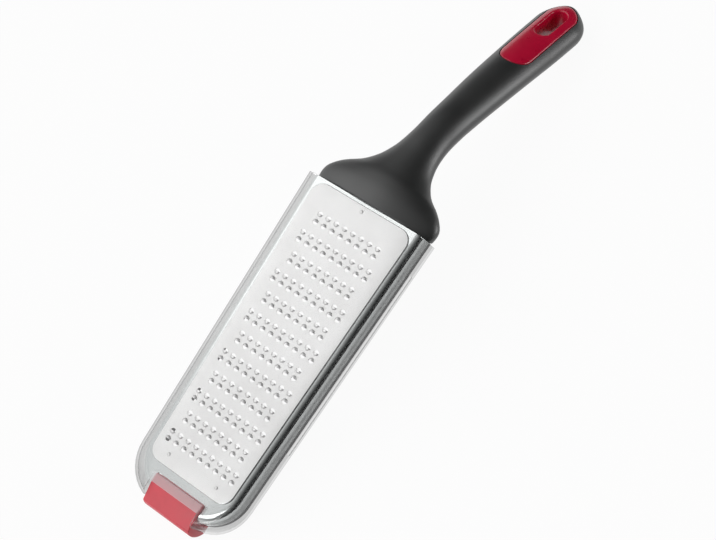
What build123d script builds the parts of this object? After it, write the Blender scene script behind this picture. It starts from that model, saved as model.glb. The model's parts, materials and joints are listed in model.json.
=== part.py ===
# Rasp zester: a drawn steel plate full of teeth on a moulded frame, a bent soft-grip
# handle with a red hanging loop, a red foot at the tip and a clear cover over the teeth.
#
# The head has a frame of its own, tilted so that the foot and the end of the handle
# both touch the table: X runs across, Y along the head towards the handle, and Z out
# of the toothed face. Y is zero where the plate meets the handle, Z is zero on the
# plateau that carries the teeth. The part's origin is on the table, under its middle.

import os
from math import atan2, cos, degrees, sin, sqrt

from build123d import *

os.makedirs("parts", exist_ok=True)

# Grating plate
plate_half_width = 34.4
plate_length = 170.3
plate_taper = 4.9
plate_corner = 20.5
sheet = 0.7
flange_depth = 9.0
rim_drop = 0.8
rim_roll = 4.0
plateau_side_margin = 4.1
plateau_root_margin = 1.7
plateau_tip_margin = 13.8
plateau_corner = 7.0

# Teeth: pairs that stand back to back, in rows of one more or one less in turn
tooth_pitch = 5.2
row_pitch = 11.34
pair_spread = 4.4
dome_radius = 1.75
dome_sink = 0.65
dome_wall = 0.4
hole_radius = 1.3
row_root_margin = 18.0
row_tip_margin = 24.0
row_side_margin = 7.8
dimple_radius = 1.0
dimple_height = 1.3
dimple_spread = 15.6
dimple_tip_margin = 19.4
dimple_root_margin = 4.8

# Plate tab, frame tenon and the rivets that hold both in the handle
tab_half_width = 11.0
tab_length = 12.0
tab_depth = 6.0
tenon_length = 14.0
rivet_radius = 1.5
rivet_head_radius = 2.6
rivet_head = 0.8
rivet_top_depth = 2.7
rivet_length = 10.4
rivet_spread = 7.0
rivet_inset = 6.5

# Frame under the plate
frame_width = 3.2
frame_top_depth = 5.6
frame_bottom_depth = 11.5
root_bar_length = 7.0

# Foot at the tip
foot_half_width = 15.2
foot_reach = 6.7
foot_length = 16.0
foot_top = 1.2
foot_shelf = 4.6
foot_slope_drop = 2.8
foot_nose_depth = 6.5
foot_nose_back = 1.5
foot_bottom_depth = 16.0
foot_heel = 3.4
foot_lower_length = 13.5

# Clear cover
cover_wall = 1.2
cover_top = 2.8
cover_depth = 14.0
cover_corner = 22.0
cover_round = 3.4
cover_tip_gap = 2.4
rib_height = 0.8
rib_thickness = 1.3
rib_depth = 9.4
rib_root_margin = 18.0
rib_length = 102.0

# Handle
shoulder_margin = 1.0
shoulder_depth = 7.0
grip_half_width = 14.0
grip_crown = 7.2
grip_belly = 10.4
grip_wall = 2.3
handle_reach = 132.0
handle_drop = 59.3
core_insert_gap = 6.8

# Insert with the hanging loop
insert_length = 52.5
insert_width = 17.5
insert_end_margin = 2.4
insert_flange = 5.0
loop_length = 21.5
loop_width = 8.6
loop_rim = 5.6
loop_wall = 1.6

# Clearances, and the overrun of every cut
fit_gap = 0.2
slide_gap = 0.4
pin_gap = 0.05
overrun = 30.0

# Handle stations, from the shoulder to the middle of the rounded end, as shares of
# the reach, the drop, the grip's half width, the shoulder's flare, the crown and the
# belly.
station_shares = [
    (0.000, 0.000, 1.000, 1.000, 1.18, 0.77),
    (0.030, 0.006, 1.000, 1.018, 1.18, 0.78),
    (0.061, 0.017, 1.000, 0.977, 1.19, 0.79),
    (0.087, 0.029, 1.000, 0.857, 1.18, 0.80),
    (0.110, 0.041, 1.000, 0.696, 1.16, 0.81),
    (0.136, 0.057, 1.000, 0.438, 1.10, 0.83),
    (0.178, 0.085, 1.000, 0.180, 1.04, 0.87),
    (0.239, 0.125, 0.930, 0.026, 0.97, 0.92),
    (0.322, 0.180, 0.803, 0.000, 0.93, 0.94),
    (0.417, 0.263, 0.796, 0.000, 0.93, 0.95),
    (0.500, 0.358, 0.825, 0.000, 0.94, 0.97),
    (0.636, 0.523, 0.898, 0.000, 0.98, 1.00),
    (0.765, 0.691, 0.950, 0.000, 1.02, 1.03),
    (0.902, 0.873, 0.993, 0.000, 1.04, 1.07),
    (1.000, 1.000, 1.000, 0.000, 1.03, 1.10),
]
end_cap_shares = [0.35, 0.62, 0.82, 0.94, 0.985]
flare_edge_share = 0.97
grip_edge_share = 0.72
edge_depth_share = 0.72
side_bulge_share = 0.1
cap_height_power = 0.36


shoulder_half_width = plate_half_width + shoulder_margin


def station_place(index):
    reach, drop = station_shares[index][:2]
    return reach * handle_reach, -shoulder_depth - drop * handle_drop


def station_slope(index):
    if index == 0:
        return 0.0
    y_before, z_before = station_place(index - 1)
    y_after, z_after = station_place(min(index + 1, len(station_shares) - 1))
    return atan2(z_after - z_before, y_after - y_before)


def station_shape(index):
    swell, flare, crown, belly = station_shares[index][2:]
    half = grip_half_width * swell + (shoulder_half_width - grip_half_width) * flare
    edge = grip_edge_share + (flare_edge_share - grip_edge_share) * min(flare, 1)
    return half, edge * half, crown * grip_crown, belly * grip_belly


def cap_height(share):
    # The rounded end keeps most of its height until close to its tip.
    return sqrt(1 - share**2) ** cap_height_power


# The table touches the foot's front edge and the lowest part of the handle, which
# gives the head its tilt.
nose_y = -plate_length - foot_reach
foot_edge = (nose_y + foot_heel, -foot_bottom_depth)
last_station = len(station_shares) - 1
last_slope = station_slope(last_station)
last_y, last_z = station_place(last_station)
last_half, last_edge, last_crown, last_belly = station_shape(last_station)
belly_points = []
for index in range(len(station_shares)):
    place_y, place_z = station_place(index)
    slope = station_slope(index)
    belly = station_shape(index)[3]
    belly_points.append((place_y + belly * sin(slope), place_z - belly * cos(slope)))
for share in end_cap_shares:
    step = share * last_half
    belly = last_belly * cap_height(share)
    belly_points.append(
        (
            last_y + step * cos(last_slope) + belly * sin(last_slope),
            last_z + step * sin(last_slope) - belly * cos(last_slope),
        )
    )
tilt = max(
    atan2(foot_edge[1] - point[1], point[0] - foot_edge[0]) for point in belly_points
)
handle_end_y = (
    last_y * cos(tilt) - last_z * sin(tilt) + grip_half_width * cos(last_slope + tilt)
)
foot_nose_y = nose_y * cos(tilt) + foot_nose_depth * sin(tilt)
head = Plane(
    origin=(
        0,
        -(handle_end_y + foot_nose_y) / 2,
        -(foot_edge[0] * sin(tilt) + foot_edge[1] * cos(tilt)),
    ),
    x_dir=(1, 0, 0),
    z_dir=(0, -sin(tilt), cos(tilt)),
)
side = Plane(origin=head.origin, x_dir=head.y_dir, z_dir=head.x_dir)
head_up = Axis(head.origin, head.z_dir)
head_along = Axis(head.origin, head.y_dir)


def station_plane(place, slope):
    forward = head.y_dir * cos(slope) + head.z_dir * sin(slope)
    origin = head.from_local_coords((0, place[0], place[1]))
    return Plane(origin=origin, x_dir=head.x_dir, z_dir=-forward)


def grip_section(plane, shape, inset):
    half, edge, crown, belly = shape
    depth = edge_depth_share * belly
    half = half - inset
    edge = edge - inset
    depth = depth - edge_depth_share * inset
    bulge = (half + edge) / 2 + side_bulge_share * depth
    with BuildSketch(plane) as section:
        with BuildLine():
            ThreePointArc((-half, 0), (0, crown - inset), (half, 0))
            ThreePointArc((half, 0), (bulge, -depth / 2), (edge, -depth))
            ThreePointArc((edge, -depth), (0, inset - belly), (-edge, -depth))
            ThreePointArc((-edge, -depth), (-bulge, -depth / 2), (-half, 0))
        make_face()
    return section.sketch


def handle_sections(inset):
    sections = []
    for index in range(len(station_shares)):
        plane = station_plane(station_place(index), station_slope(index))
        sections.append(grip_section(plane, station_shape(index), inset))
    return sections


def end_cap_sections():
    sections = []
    for share in end_cap_shares:
        step = share * last_half
        round_share = sqrt(1 - share**2)
        place = (last_y + step * cos(last_slope), last_z + step * sin(last_slope))
        shape = (
            last_half * round_share,
            last_edge * round_share,
            last_crown * cap_height(share),
            last_belly * cap_height(share),
        )
        sections.append(grip_section(station_plane(place, last_slope), shape, 0))
    return sections


def head_outline(depth, half_width, root, tip, corner, corners=2):
    taper_rate = plate_taper / plate_length
    with BuildSketch(head.offset(-depth)) as outline:
        with BuildLine():
            Polyline(
                (-half_width + root * taper_rate, -root),
                (half_width - root * taper_rate, -root),
                (half_width - tip * taper_rate, -tip),
                (-half_width + tip * taper_rate, -tip),
                close=True,
            )
        make_face()
        fillet(outline.vertices().sort_by(Axis.Y)[:corners], corner)
    return outline.sketch


def cross_box(half_width, back, front, low, high):
    with BuildSketch(side) as profile:
        with Locations(((back + front) / 2, (low + high) / 2)):
            Rectangle(front - back, high - low)
    with BuildPart() as box:
        extrude(profile.sketch, amount=half_width, both=True)
    return box.part


def core_body(inset, reach):
    # The handle's inner form, cut off square at its reach
    stretch = cross_box(2 * shoulder_half_width, 0, reach, -overrun - handle_drop, overrun)
    with BuildPart() as body:
        loft(handle_sections(inset))
        add(stretch, mode=Mode.INTERSECT)
    return body.part


def rolled_body(inset, root, bottom):
    # The drawn shape: the rim rolls down into a flange, and the plateau stands on it.
    rim = head_outline(
        bottom, plate_half_width - inset, root, plate_length - inset, plate_corner - inset
    )
    plateau = head_outline(
        rim_drop + inset,
        plate_half_width - plateau_side_margin - inset,
        plateau_root_margin + inset,
        plate_length - plateau_tip_margin - inset,
        plateau_corner - inset,
        corners=4,
    )
    with BuildPart() as body:
        extrude(rim, amount=bottom - rim_drop - inset)
        rim_edges = body.edges().group_by(head_up)[-1].sort_by(head_along)[:-1]
        fillet(rim_edges, rim_roll - inset)
        extrude(plateau, amount=rim_drop)
    return body.part


# Place of the insert on the last straight stretch of the handle, and where the core
# ends in front of it
insert_step = grip_half_width - insert_end_margin - insert_length / 2
insert_start = insert_step - insert_length / 2
core_reach = last_y + insert_start * cos(last_slope) - core_insert_gap

# Places shared by the plate, the frame, the foot and the cover
plate_root = slide_gap / 2
frame_tip = plate_length - sheet - fit_gap
foot_back_y = nose_y + foot_length
shelf_y = foot_back_y - foot_shelf
foot_opening = foot_half_width + fit_gap
cover_half_width = plate_half_width + slide_gap + cover_wall
cover_tip = plate_length + cover_tip_gap + cover_wall

# Tooth places, across and along the head, with the turn of each tooth. The rows fill
# the plateau between their margins.
row_stretch = plate_length - row_root_margin - row_tip_margin
row_count = int(row_stretch / row_pitch) + 1
short_row = int(2 * (plate_half_width - plate_taper - row_side_margin) / tooth_pitch)
tooth_places = []
for row in range(row_count):
    in_row = short_row + row % 2
    row_y = -row_root_margin - row * row_pitch
    for column in range(in_row):
        tooth_x = (column - (in_row - 1) / 2) * tooth_pitch
        up_place = Location((tooth_x, row_y + pair_spread / 2, 0))
        down_place = Location((tooth_x, row_y - pair_spread / 2, 0), (0, 0, 180))
        tooth_places.append(head.location * up_place)
        tooth_places.append(head.location * down_place)
dimple_y = -plate_length + dimple_tip_margin
dimple_places = [
    head.location * Location((-dimple_spread, dimple_y, -sheet)),
    head.location * Location((dimple_spread, dimple_y, -sheet)),
    head.location * Location((0, -dimple_root_margin, -sheet)),
]
rivet_places = [
    head.location * Location((-rivet_spread, rivet_inset, -rivet_top_depth)),
    head.location * Location((rivet_spread, rivet_inset, -rivet_top_depth)),
]

# One tooth's hood: half a dome, open towards the hole in front of it
with BuildPart() as hood:
    with Locations((0, 0, -dome_sink)):
        Sphere(dome_radius)
        Sphere(dome_radius - dome_wall, mode=Mode.SUBTRACT)
    with Locations((0, 0, -sheet / 2)):
        Box(
            overrun,
            overrun,
            overrun,
            align=(Align.CENTER, Align.MAX, Align.MIN),
            mode=Mode.INTERSECT,
        )

# Steel plate: a drawn tray of thin sheet, with its end wall, its tab and its teeth
outer_body = rolled_body(0, plate_root, flange_depth)
inner_body = rolled_body(sheet, plate_root + sheet, flange_depth + overrun)
foot_notch = cross_box(
    foot_opening, -plate_length - overrun, foot_back_y + slide_gap, -overrun, overrun
)
tab_back = -plate_root - sheet
end_wall_trim = cross_box(2 * plate_half_width, tab_back - fit_gap, 0, -overrun, -tab_depth)
tab = cross_box(tab_half_width, tab_back, tab_length, -tab_depth, sheet - tab_depth)
with BuildPart() as grating_plate:
    add(outer_body)
    add(inner_body, mode=Mode.SUBTRACT)
    add(foot_notch, mode=Mode.SUBTRACT)
    add(end_wall_trim, mode=Mode.SUBTRACT)
    add(tab)
    with Locations(rivet_places):
        Cylinder(rivet_radius + pin_gap, overrun, mode=Mode.SUBTRACT)
    with Locations(tooth_places):
        Cylinder(hole_radius, 4 * sheet, mode=Mode.SUBTRACT)
    with Locations(tooth_places):
        add(hood.part)
    with Locations(dimple_places):
        Cone(
            dimple_radius,
            dimple_radius / 2,
            dimple_height + sheet,
            align=(Align.CENTER, Align.CENTER, Align.MIN),
        )
grating_plate.part.label = "grating_plate"
export_step(grating_plate.part, "parts/grating_plate.step")

# Frame under the plate: two side rails, a tip bar, a root bar and the tenon. A ledge
# outside the rails carries the plate's flange.
rail_half_width = plate_half_width - sheet - fit_gap
rail_corner = plate_corner - sheet - fit_gap
rail_outline = head_outline(
    frame_bottom_depth, rail_half_width, plate_root + sheet + fit_gap, frame_tip, rail_corner
)
rail_opening = head_outline(
    frame_bottom_depth + overrun,
    rail_half_width - frame_width,
    root_bar_length,
    frame_tip - frame_width,
    rail_corner - frame_width,
)
ledge_outline = head_outline(
    frame_bottom_depth, plate_half_width, plate_root, plate_length, plate_corner
)
root_bar_top = tab_depth + fit_gap
root_bar_trim = cross_box(
    2 * plate_half_width, -root_bar_length, overrun, -root_bar_top, overrun
)
tenon = cross_box(
    tab_half_width, -root_bar_length, tenon_length, -frame_bottom_depth, -root_bar_top
)
with BuildPart() as plate_frame:
    extrude(ledge_outline, amount=frame_bottom_depth - flange_depth - fit_gap)
    add(foot_notch, mode=Mode.SUBTRACT)
    extrude(rail_outline, amount=frame_bottom_depth - frame_top_depth)
    extrude(rail_opening, amount=2 * overrun, mode=Mode.SUBTRACT)
    add(root_bar_trim, mode=Mode.SUBTRACT)
    add(tenon)
    with Locations(rivet_places):
        Cylinder(rivet_radius + pin_gap, overrun, mode=Mode.SUBTRACT)
plate_frame.part.label = "plate_frame"
export_step(plate_frame.part, "parts/plate_frame.step")

# Rivets that hold the tab and the tenon in the handle
with BuildPart() as root_rivets:
    with Locations(rivet_places):
        Cylinder(
            rivet_head_radius, rivet_head, align=(Align.CENTER, Align.CENTER, Align.MAX)
        )
        Cylinder(
            rivet_radius, rivet_length, align=(Align.CENTER, Align.CENTER, Align.MAX)
        )
root_rivets.part.label = "root_rivets"
export_step(root_rivets.part, "parts/root_rivets.step")

# Stiff core of the handle, with a socket for the tenon and the tab
socket = cross_box(
    tab_half_width + fit_gap,
    -overrun,
    tenon_length + fit_gap,
    -frame_bottom_depth - fit_gap,
    sheet - tab_depth + fit_gap,
)
with BuildPart() as handle_core:
    add(core_body(grip_wall, core_reach))
    add(socket, mode=Mode.SUBTRACT)
    with Locations(rivet_places):
        Cylinder(
            rivet_head_radius + pin_gap,
            rivet_head + pin_gap,
            align=(Align.CENTER, Align.CENTER, Align.MAX),
            mode=Mode.SUBTRACT,
        )
        Cylinder(
            rivet_head_radius + pin_gap,
            grip_wall,
            align=(Align.CENTER, Align.CENTER, Align.MIN),
            mode=Mode.SUBTRACT,
        )
        Cylinder(
            rivet_radius + pin_gap,
            rivet_length + fit_gap,
            align=(Align.CENTER, Align.CENTER, Align.MAX),
            mode=Mode.SUBTRACT,
        )
handle_core.part.label = "handle_core"
export_step(handle_core.part, "parts/handle_core.step")

# Space of the insert in the handle's end: a flange at the top and a liner below it
insert_place = (last_y + insert_step * cos(last_slope), last_z + insert_step * sin(last_slope))
hang = Plane(
    origin=head.from_local_coords((0, insert_place[0], insert_place[1])),
    x_dir=head.y_dir * cos(last_slope) + head.z_dir * sin(last_slope),
    z_dir=head.z_dir * cos(last_slope) - head.y_dir * sin(last_slope),
)
loop_x = insert_length / 2 - loop_rim - loop_length / 2


def insert_space(gap):
    liner = 2 * (loop_wall + gap)
    with BuildPart() as space:
        with BuildSketch(hang.offset(grip_crown - insert_flange - gap)):
            SlotOverall(insert_length + 2 * gap, insert_width + 2 * gap)
        extrude(amount=overrun)
        with BuildSketch(hang):
            with Locations((loop_x, 0)):
                SlotOverall(loop_length + liner, loop_width + liner)
        extrude(amount=overrun, both=True)
    return space.part


# Red insert: it fills its space up to the grip's surface, and the loop goes through it
with BuildPart() as handle_body:
    loft(handle_sections(0) + end_cap_sections())
seat_space = insert_space(fit_gap)
with BuildPart() as hang_insert:
    add(handle_body.part)
    add(insert_space(0), mode=Mode.INTERSECT)
    with BuildSketch(hang):
        with Locations((loop_x, 0)):
            SlotOverall(loop_length, loop_width)
    extrude(amount=overrun, both=True, mode=Mode.SUBTRACT)
hang_insert.part.label = "hang_insert"
export_step(hang_insert.part, "parts/hang_insert.step")

# Soft grip moulded round the core, open at the shoulder and round the insert
with BuildPart() as handle_grip:
    add(handle_body.part)
    add(core_body(grip_wall - fit_gap, core_reach + fit_gap), mode=Mode.SUBTRACT)
    add(seat_space, mode=Mode.SUBTRACT)
handle_grip.part.label = "handle_grip"
export_step(handle_grip.part, "parts/handle_grip.step")

# Red foot: a soft jaw that grips the frame's tip bar, with a rounded nose
jaw_front_y = -frame_tip - fit_gap
jaw_top = fit_gap - frame_top_depth
jaw_bottom = -frame_bottom_depth - fit_gap
lower_back_y = nose_y + foot_lower_length
with BuildPart() as tip_foot:
    with BuildSketch(side) as jaw:
        with BuildLine():
            Polyline(
                (nose_y + foot_nose_back, foot_top - foot_slope_drop),
                (shelf_y, foot_top),
                (foot_back_y, foot_top),
                (foot_back_y, jaw_top),
                (jaw_front_y, jaw_top),
                (jaw_front_y, jaw_bottom),
                (lower_back_y, jaw_bottom),
                (lower_back_y, -foot_bottom_depth),
                (nose_y + foot_heel, -foot_bottom_depth),
            )
            ThreePointArc(
                (nose_y + foot_heel, -foot_bottom_depth),
                (nose_y, -foot_nose_depth),
                (nose_y + foot_nose_back, foot_top - foot_slope_drop),
            )
        make_face()
    extrude(amount=foot_half_width, both=True)
tip_foot.part.label = "tip_foot"
export_step(tip_foot.part, "parts/tip_foot.step")


# Clear cover: a shallow tray over the teeth, open towards the handle and below, with
# a notch that the foot fills and a rib along each side
def cover_body(inset, root, bottom):
    outline = head_outline(
        bottom, cover_half_width - inset, root, cover_tip - inset, cover_corner - inset
    )
    with BuildPart() as body:
        extrude(outline, amount=bottom + cover_top - inset)
        rim_edges = body.edges().group_by(head_up)[-1].sort_by(head_along)[:-1]
        fillet(rim_edges, cover_round - inset)
    return body.part


rib_bottom = rib_depth + rib_thickness
rib_outline = head_outline(
    rib_bottom, cover_half_width + rib_height, slide_gap, cover_tip, cover_corner
)
rib_stretch = cross_box(
    2 * cover_half_width, -rib_root_margin - rib_length, -rib_root_margin, -overrun, overrun
)
cover_notch = cross_box(
    foot_half_width + slide_gap, -cover_tip - overrun, shelf_y, -overrun, overrun
)
with BuildPart() as ribs:
    extrude(rib_outline, amount=rib_thickness)
    add(rib_stretch, mode=Mode.INTERSECT)
with BuildPart() as protective_cover:
    add(cover_body(0, slide_gap, cover_depth))
    add(ribs.part)
    add(cover_body(cover_wall, -overrun, cover_depth + overrun), mode=Mode.SUBTRACT)
    add(cover_notch, mode=Mode.SUBTRACT)
protective_cover.part.label = "protective_cover"
export_step(protective_cover.part, "parts/protective_cover.step")

print("tilt of the head, degrees:", round(degrees(tilt), 2))
for piece in (
    grating_plate, plate_frame, root_rivets, handle_core, hang_insert, handle_grip, tip_foot,
    protective_cover,
):
    shape = piece.part
    print(shape.label, len(shape.solids()), round(shape.volume, 1), shape.is_valid)
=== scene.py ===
# %% [markdown]
# A rasp zester for a learner of Blender to take apart: a steel plate full of teeth, a bent
# soft handle with a red insert, a red foot at the tip and a clear cover. The construction
# comes in packed, at its real size and place, and every piece made here sits on it.

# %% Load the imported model
import json
import math

import bmesh
import bpy
from mathutils import Matrix, Vector
from mathutils.bvhtree import BVHTree


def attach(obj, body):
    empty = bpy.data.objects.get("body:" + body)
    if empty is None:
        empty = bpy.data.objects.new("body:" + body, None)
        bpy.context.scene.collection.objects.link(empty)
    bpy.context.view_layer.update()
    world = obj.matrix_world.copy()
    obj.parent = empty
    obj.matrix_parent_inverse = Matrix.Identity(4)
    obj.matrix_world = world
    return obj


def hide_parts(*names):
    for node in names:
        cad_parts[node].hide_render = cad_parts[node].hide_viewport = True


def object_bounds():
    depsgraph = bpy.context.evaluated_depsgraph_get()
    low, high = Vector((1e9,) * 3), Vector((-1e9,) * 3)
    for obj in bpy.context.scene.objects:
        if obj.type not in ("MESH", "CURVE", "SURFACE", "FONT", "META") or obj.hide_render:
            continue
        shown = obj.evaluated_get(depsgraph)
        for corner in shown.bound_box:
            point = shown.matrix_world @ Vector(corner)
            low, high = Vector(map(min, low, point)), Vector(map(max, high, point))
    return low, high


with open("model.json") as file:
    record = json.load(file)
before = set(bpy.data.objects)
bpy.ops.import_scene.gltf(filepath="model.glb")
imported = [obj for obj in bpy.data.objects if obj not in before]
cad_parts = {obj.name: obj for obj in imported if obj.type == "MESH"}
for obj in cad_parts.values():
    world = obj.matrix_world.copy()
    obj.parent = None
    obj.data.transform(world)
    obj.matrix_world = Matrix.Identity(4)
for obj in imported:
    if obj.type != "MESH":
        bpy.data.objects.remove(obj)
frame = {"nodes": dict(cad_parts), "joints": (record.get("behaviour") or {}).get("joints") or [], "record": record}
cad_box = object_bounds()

print("nodes:", sorted(frame["nodes"]))

# %% [markdown]
# The head of the zester leans: its foot and the end of its handle both touch the table. All
# of its shapes are easier to say in the head's own frame, with X across, Y along the head
# towards the handle and Z out of the toothed face. The cover lifts along that Z, so the
# joint's axis gives the lean, and the foot's resting face gives the place.

# %% The head's own frame
foot_rest_along = 0.16855
foot_rest_depth = 0.016
mounts = {mount["name"]: mount for mount in frame["record"]["mounts"]}
head_across = Vector((1, 0, 0))
head_out = Vector(frame["joints"][0]["axis"]).normalized()
head_along = head_out.cross(head_across)
head_origin = (
    Vector(mounts["foot_rest"]["pos_m"])
    + head_along * foot_rest_along
    + head_out * foot_rest_depth
)
head = Matrix.Translation(head_origin) @ Matrix(
    (head_across, head_along, head_out)
).transposed().to_4x4()
print("head leans by", round(math.degrees(math.asin(-head_out.y)), 2), "degrees")


# %% [markdown]
# Most pieces are lofts: rings of points, all with the same count, with quads between each
# ring and the next. A box with many modifiers could come near the same shapes, but rings
# follow measured lines closely and never fold over. One small helper turns them into a mesh,
# so that each piece below only has to say where its rings lie.

# %% Helpers for lofted meshes
def mesh_object(name, mesh_data, materials):
    mesh = bpy.data.meshes.new(name)
    mesh_data.to_mesh(mesh)
    mesh_data.free()
    piece = bpy.data.objects.new(name, mesh)
    bpy.context.scene.collection.objects.link(piece)
    for material in materials:
        mesh.materials.append(material)
    return piece


def loft(rings, closed=False):
    """Quads between neighbouring rings of points, each ring a closed loop."""
    data = bmesh.new()
    rows = [[data.verts.new(point) for point in ring] for ring in rings]
    if closed:
        rows.append(rows[0])
    for row, following in zip(rows, rows[1:]):
        count = len(row)
        for index in range(count):
            after = (index + 1) % count
            data.faces.new((row[index], row[after], following[after], following[index]))
    return data, rows


def shade_by_angle(piece, degrees):
    """Smooth shading, with an edge kept sharp where its faces meet at more than this."""
    for polygon in piece.data.polygons:
        polygon.use_smooth = True
    piece.data.set_sharp_from_angle(angle=math.radians(degrees))


def applied(piece):
    """The mesh that the modifiers make takes the piece's own mesh's place."""
    depsgraph = bpy.context.evaluated_depsgraph_get()
    mesh = bpy.data.meshes.new_from_object(piece.evaluated_get(depsgraph))
    piece.modifiers.clear()
    piece.data = mesh
    return piece


print("helpers: mesh_object, loft, shade_by_angle, applied")

# %% [markdown]
# The head, the plateau, the cover: all are the same kind of outline, a long trapezium with
# rounded corners. A bevel on the corners would round them too, but it can't promise the same
# points on every ring. Here a corner's arc touches both of its sides, which fixes the arc's
# centre, and every arc has the same number of points.

# %% A rounded outline
plate_length = 0.1703
plate_taper = 0.0049
plate_half_width = 0.0344
arc_steps = 10


def rounded_corner(before, corner, after, radius):
    to_before = (before - corner).normalized()
    to_after = (after - corner).normalized()
    half_turn = to_before.angle(to_after) / 2
    centre = corner + (to_before + to_after).normalized() * radius / math.sin(half_turn)
    reach = radius / math.tan(half_turn)
    start = corner + to_before * reach - centre
    end = corner + to_after * reach - centre
    turn = start.angle(end)
    points = []
    for step in range(arc_steps + 1):
        share = step / arc_steps
        weights = math.sin((1 - share) * turn), math.sin(share * turn)
        points.append(centre + (start * weights[0] + end * weights[1]) / math.sin(turn))
    return points


def head_ring(half_width, root, tip, root_corner, tip_corner, height, stops=()):
    """A closed ring round the head. Stops are places along both sides where the ring
    needs a point of its own."""
    taper = plate_taper / plate_length
    wide, narrow = half_width - root * taper, half_width - tip * taper
    corners = [
        Vector((-wide, -root, 0)),
        Vector((-narrow, -tip, 0)),
        Vector((narrow, -tip, 0)),
        Vector((wide, -root, 0)),
    ]
    radii = [root_corner, tip_corner, tip_corner, root_corner]
    extras = [
        [Vector((-half_width - y * taper, y, 0)) for y in stops],
        [],
        [Vector((half_width + y * taper, y, 0)) for y in reversed(stops)],
        [],
    ]
    ring = []
    for index, corner in enumerate(corners):
        after = corners[(index + 1) % 4]
        ring += rounded_corner(corners[index - 1], corner, after, radii[index])
        ring += extras[index]
    return [Vector((point.x, point.y, height)) for point in ring]


print("width at the tip:", round(2 * (plate_half_width - plate_taper), 4))


# %% [markdown]
# The foot stands in a notch that is cut through the tip of the plate and of the cover. Both
# are still a skin without thickness then, so a notch is three straight cuts through the
# faces there, and the faces between the cuts go. A Boolean with a block needs a closed solid,
# which a skin isn't.

# %% Cut the foot's notch
def cut_notch(data, half_width, back):
    """Opens the tip of a skin between both half widths, from the back line outwards."""
    for point, normal in (
        ((half_width, 0, 0), (1, 0, 0)),
        ((-half_width, 0, 0), (1, 0, 0)),
        ((0, back, 0), (0, 1, 0)),
    ):
        near = [face for face in data.faces if min(v.co.y for v in face.verts) < back]
        parts = set(near)
        for face in near:
            parts.update(face.edges)
            parts.update(face.verts)
        bmesh.ops.bisect_plane(data, geom=list(parts), plane_co=point, plane_no=normal)
    gone = []
    for face in data.faces:
        middle = face.calc_center_median()
        if middle.y < back and abs(middle.x) < half_width:
            gone.append(face)
    bmesh.ops.delete(data, geom=gone, context="FACES")


print("helper: cut_notch")

# %% [markdown]
# Finishes next. A shader in Blender is a tree of nodes, and so are the rule for the teeth
# and the light of the studio. Adding a node is always the same few lines: make it, set some
# inputs, link the others. One helper does all three and gives back the node's outputs, ready
# to be linked on. Two more use it for the nodes that come up most, sums and ranges.

# %% Helpers for nodes
def add_node(tree, kind, inputs=None, **settings):
    """A node with its settings. An input whose value is another node's output is linked,
    and any other is set. Gives the new node's outputs."""
    node = tree.nodes.new(kind)
    for key, value in settings.items():
        setattr(node, key, value)
    for key, value in (inputs or {}).items():
        if isinstance(value, bpy.types.NodeSocket):
            tree.links.new(value, node.inputs[key])
        else:
            node.inputs[key].default_value = value
    return node.outputs


def add_math(tree, operation, *values):
    inputs = dict(enumerate(values))
    return add_node(tree, "ShaderNodeMath", inputs, operation=operation)["Value"]


def add_span(tree, value, given, wanted):
    """The value, with the range given stretched to the range wanted and held there."""
    return add_node(tree, "ShaderNodeMapRange", {
        "Value": value,
        "From Min": given[0],
        "From Max": given[1],
        "To Min": wanted[0],
        "To Max": wanted[1],
    })["Result"]


print("helpers: add_node, add_math, add_span")

# %% [markdown]
# Every finish is the Principled shader with noise on the object's own coordinates. What is
# the same all over is set on the shader itself. Painted pictures could do this too, but
# noise has no seams, and its size in metres is the same on every piece. Most of the pieces
# need the same two noises: a slow drift of tone and roughness, and a fine grain as a bump.

# %% Helpers for finishes
noise_span = (0.25, 0.75)
tone_span = (0.3, 0.7)


def new_finish(name, color, metallic=0.0, specular=0.5):
    material = bpy.data.materials.new(name)
    material.use_nodes = True
    shader = material.node_tree.nodes["Principled BSDF"]
    shader.inputs["Base Color"].default_value = (*color, 1)
    shader.inputs["Metallic"].default_value = metallic
    shader.inputs["Specular IOR Level"].default_value = specular
    return material, shader


def add_noise(material, scale, detail=2.0, stretch=(1, 1, 1), lean=0.0):
    """Noise in the piece's own metres, longer along an axis whose stretch is small."""
    tree = material.node_tree
    turned = add_node(tree, "ShaderNodeMapping", {
        "Vector": add_node(tree, "ShaderNodeTexCoord")["Object"],
        "Scale": stretch,
        "Rotation": (lean, 0, 0),
    })["Vector"]
    inputs = {"Vector": turned, "Scale": scale, "Detail": detail}
    return add_node(tree, "ShaderNodeTexNoise", inputs)["Fac"]


def add_roughness(material, value, shader, low, high):
    """Roughness that drifts between two values with the noise."""
    wanted = add_span(material.node_tree, value, noise_span, (low, high))
    material.node_tree.links.new(wanted, shader.inputs["Roughness"])


def add_tint(material, value, shader, darker, lighter):
    """Colour that drifts between two tones with the noise."""
    ramp = material.node_tree.nodes.new("ShaderNodeValToRGB")
    for element, place, tone in zip(ramp.color_ramp.elements, tone_span, (darker, lighter)):
        element.position = place
        element.color = (*tone, 1)
    material.node_tree.links.new(value, ramp.inputs["Fac"])
    material.node_tree.links.new(ramp.outputs["Color"], shader.inputs["Base Color"])


def add_bump(material, value, shader, depth):
    inputs = {"Height": value, "Strength": 1.0, "Distance": depth}
    bump = add_node(material.node_tree, "ShaderNodeBump", inputs)["Normal"]
    material.node_tree.links.new(bump, shader.inputs["Normal"])


def drifting_finish(name, color, drift, grain, roughness, tones, bump, **more):
    """A finish whose roughness and tone follow a slow drift, with a fine grain as its
    bump. The drift and the grain are given as what add_noise needs."""
    material, shader = new_finish(name, color, **more)
    slow = add_noise(material, *drift)
    add_roughness(material, slow, shader, *roughness)
    add_tint(material, slow, shader, *tones)
    add_bump(material, add_noise(material, *grain), shader, bump)
    return material, shader


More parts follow.
